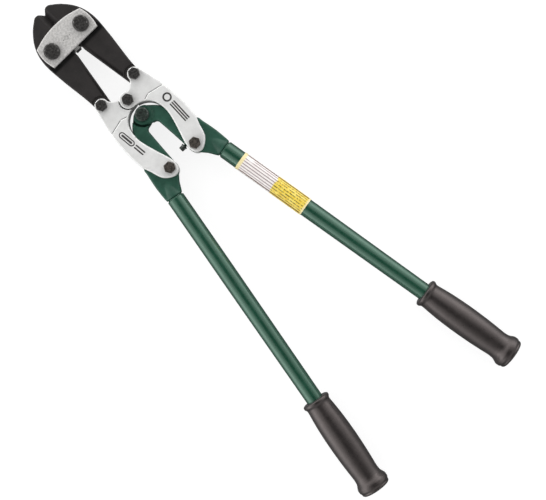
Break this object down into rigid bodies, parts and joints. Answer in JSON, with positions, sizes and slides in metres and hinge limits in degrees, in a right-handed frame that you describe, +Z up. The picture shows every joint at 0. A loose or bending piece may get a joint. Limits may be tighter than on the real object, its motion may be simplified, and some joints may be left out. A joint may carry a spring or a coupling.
{
  "type": "bolt cutters",
  "caption": "Long-handled bolt cutters: bevelled jaws between bolted straps, forked boomerang links, forged lapped handle heads, steel tubes and flared rubber grips.",
  "frame": {"origin": "centre of the bounding box's underside, with the tool lying flat on its strap nuts and the flared ends of its grips", "axes": "+Y along the tool's centre line towards the jaws, +Z up through the bolt heads, +X to the right seen from above"},
  "size_m": [0.2946, 0.7664, 0.044],
  "materials": {
    "jaw_steel": "charcoal black forged steel, satin",
    "strap_steel": "satin nickel plate with bright chamfers",
    "link_steel": "light silver satin coat over cast steel",
    "spacer_steel": "machined steel",
    "black_oxide": "black oxide, slightly worn",
    "green_forging": "dark green paint on a forging",
    "green_tube": "glossy dark green paint",
    "grip_rubber": "dark grey-brown rubber, semi-gloss",
    "label_film": "printed film, off-white and yellow bands"
  },
  "bodies": {
    "head": {"strap_front": "strap_steel", "strap_back": "strap_steel", "centre_spacer": "spacer_steel", "strap_bolt_left": "black_oxide", "strap_bolt_right": "black_oxide", "strap_nut_left": "black_oxide", "strap_nut_right": "black_oxide"},
    "jaw_left": {"jaw_left": "jaw_steel"},
    "jaw_right": {"jaw_right": "jaw_steel"},
    "link_left": {"link_left": "link_steel", "jaw_tail_left_bolt": "black_oxide", "jaw_tail_left_washer": "black_oxide", "jaw_tail_left_nut": "black_oxide", "handle_link_left_bolt": "black_oxide", "handle_link_left_washer": "black_oxide", "handle_link_left_nut": "black_oxide"},
    "link_right": {"link_right": "link_steel", "jaw_tail_right_bolt": "black_oxide", "jaw_tail_right_washer": "black_oxide", "jaw_tail_right_nut": "black_oxide", "handle_link_right_bolt": "black_oxide", "handle_link_right_washer": "black_oxide", "handle_link_right_nut": "black_oxide", "link_pivot_bolt": "black_oxide", "link_pivot_washer": "black_oxide", "link_pivot_nut": "black_oxide"},
    "handle_left": {"handle_head_left": "green_forging", "handle_tube_left": "green_tube", "grip_left": "grip_rubber"},
    "handle_right": {"handle_head_right": "green_forging", "handle_tube_right": "green_tube", "grip_right": "grip_rubber", "label_sleeve": "label_film", "handle_pivot_bolt": "black_oxide", "handle_pivot_washer": "black_oxide", "handle_pivot_nut": "black_oxide", "stop_screw": "black_oxide", "stop_lock_nut": "black_oxide"}
  },
  "joints": [
    {"name": "jaw_left_pivot", "type": "hinge", "parent": "head", "child": "jaw_left", "pos_m": [-0.0265, 0.33293, 0.022], "axis": [0, 0, 1], "range_deg": [-0.1, 4.8]},
    {"name": "jaw_right_pivot", "type": "hinge", "parent": "head", "child": "jaw_right", "pos_m": [0.0265, 0.33293, 0.022], "axis": [0, 0, 1], "range_deg": [-4.8, 0.1]},
    {"name": "link_left_pivot", "type": "hinge", "parent": "jaw_left", "child": "link_left", "pos_m": [-0.03015, 0.23663, 0.022], "axis": [0, 0, 1], "range_deg": [-24.9, 0.3]},
    {"name": "link_right_pivot", "type": "hinge", "parent": "jaw_right", "child": "link_right", "pos_m": [0.03015, 0.23663, 0.022], "axis": [0, 0, 1], "range_deg": [-0.3, 24.9]},
    {"name": "handle_left_pivot", "type": "hinge", "parent": "link_left", "child": "handle_left", "pos_m": [-0.02315, 0.11523, 0.022], "axis": [0, 0, 1], "range_deg": [-8.4, 0.15]},
    {"name": "handle_right_pivot", "type": "hinge", "parent": "link_right", "child": "handle_right", "pos_m": [0.02315, 0.11523, 0.022], "axis": [0, 0, 1], "range_deg": [-0.15, 8.4]}
  ],
  "couplings": [
    {"joint": "link_left_pivot", "follows": "link_right_pivot", "ratio": -1},
    {"joint": "jaw_right_pivot", "follows": "link_right_pivot", "ratio": -0.191},
    {"joint": "jaw_left_pivot", "follows": "link_right_pivot", "ratio": 0.191},
    {"joint": "handle_right_pivot", "follows": "link_right_pivot", "ratio": 0.335},
    {"joint": "handle_left_pivot", "follows": "link_right_pivot", "ratio": -0.335}
  ]
}
